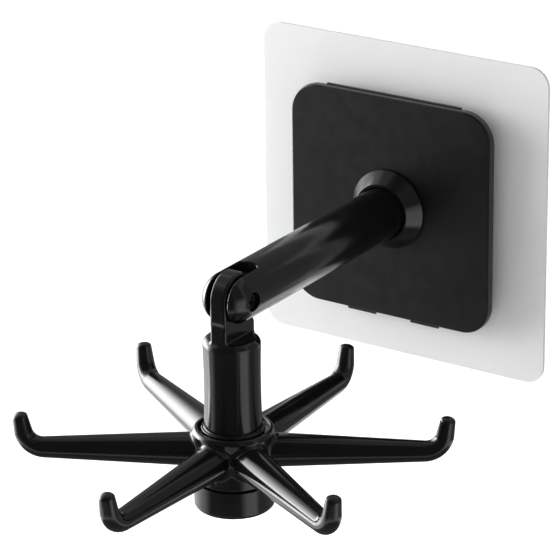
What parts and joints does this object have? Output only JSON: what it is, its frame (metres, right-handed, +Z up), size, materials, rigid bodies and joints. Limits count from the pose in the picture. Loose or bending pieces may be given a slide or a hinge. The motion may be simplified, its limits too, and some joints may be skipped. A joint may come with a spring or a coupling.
{
  "type": "rotating utensil hook",
  "caption": "Adhesive wall plate with a round swivel arm, a folding stem and a spinning hub that carries upturned utensil hooks.",
  "frame": {"origin": "centre of the adhesive layer's back face, which lies on the wall", "axes": "+X to the right as seen from the front, +Y into the wall, +Z up; the hook stands out towards -Y"},
  "size_m": [0.1112, 0.1573, 0.1143],
  "materials": {
    "black_plastic": "glossy moulded black",
    "frosted_film": "frosted clear film",
    "clear_gum": "clear tacky layer",
    "black_nylon": "matt moulded black",
    "bright_steel": "plain bright",
    "dark_steel": "blackened"
  },
  "bodies": {
    "base": {"adhesive_layer": "clear_gum", "mounting_film": "frosted_film", "back_plate": "black_plastic", "front_plate": "black_plastic", "arm_collar": "black_plastic"},
    "arm": {"arm": "black_plastic", "arm_friction_ring": "black_nylon", "arm_washer": "bright_steel", "arm_screw": "bright_steel", "elbow_screw": "dark_steel", "elbow_nut": "bright_steel", "elbow_washer_near": "black_nylon", "elbow_washer_far": "black_nylon"},
    "stem": {"stem": "black_plastic", "hub_thrust_washer": "black_nylon", "hub_washer": "bright_steel", "hub_screw": "bright_steel"},
    "hub": {"hook_hub": "black_plastic", "bottom_cap": "black_plastic"}
  },
  "joints": [
    {"name": "arm_swivel", "type": "hinge", "parent": "base", "child": "arm", "pos_m": [0, 0, 0], "axis": [0, -1, 0], "continuous": true},
    {"name": "elbow_fold", "type": "hinge", "parent": "arm", "child": "stem", "pos_m": [0, -0.0931, 0], "axis": [-1, 0, 0], "range_deg": [0, 180]},
    {"name": "hub_spin", "type": "hinge", "parent": "stem", "child": "hub", "pos_m": [0, -0.0936, -0.0397], "axis": [0, 0, 1], "continuous": true}
  ]
}
